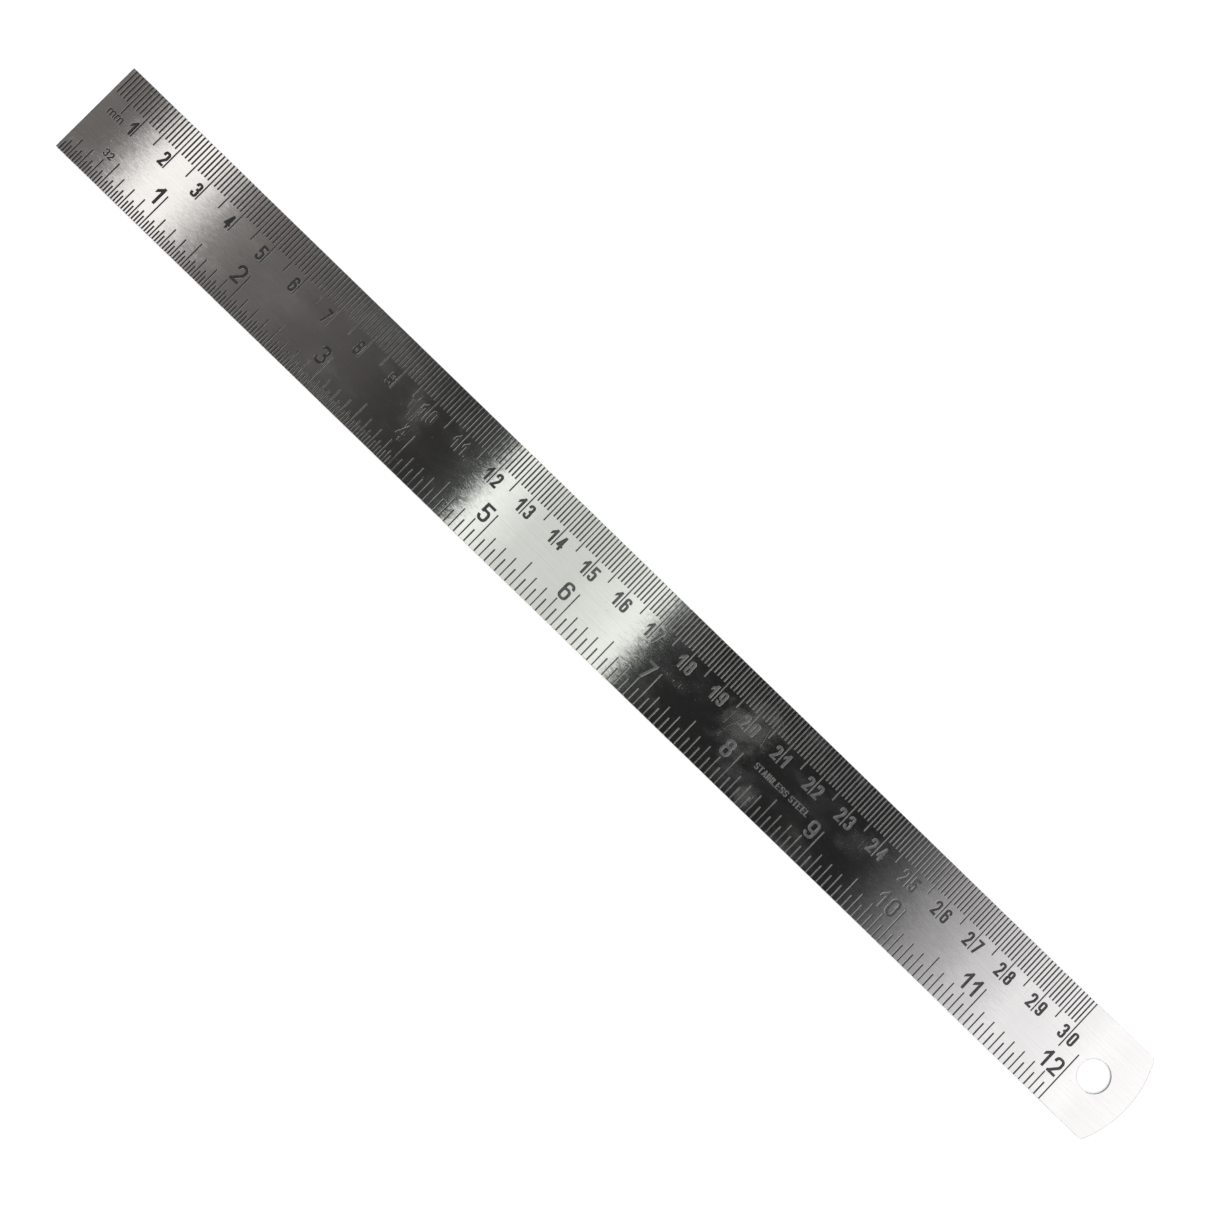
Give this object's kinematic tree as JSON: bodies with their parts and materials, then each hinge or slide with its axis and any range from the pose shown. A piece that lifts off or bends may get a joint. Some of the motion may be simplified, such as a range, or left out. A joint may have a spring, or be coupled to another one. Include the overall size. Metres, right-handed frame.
{
  "type": "steel ruler",
  "caption": "Thin flat stainless steel ruler with a square zero end, a rounded tail with a hang hole, and filled millimetre and inch graduations on one face.",
  "frame": {"origin": "middle of the blade's length and width, on its back face", "axes": "+X along the blade in the direction of growing readings, +Y towards the millimetre edge, +Z out of the graduated face"},
  "size_m": [0.321, 0.0244, 0.0008],
  "materials": {
    "steel": "stainless steel brushed along its length, bright, with fine scratches and smudges",
    "filler": "matte dark grey filler set in the pressed marks"
  },
  "bodies": {
    "root": {"blade": "steel", "millimetre_lines": "filler", "half_centimetre_lines": "filler", "centimetre_lines": "filler", "centimetre_numerals": "filler", "millimetre_label": "filler", "thirty_second_inch_lines": "filler", "sixteenth_inch_lines": "filler", "eighth_inch_lines": "filler", "quarter_inch_lines": "filler", "half_inch_lines": "filler", "inch_lines": "filler", "inch_numerals": "filler", "thirty_seconds_label": "filler", "material_legend": "filler"}
  },
  "joints": []
}
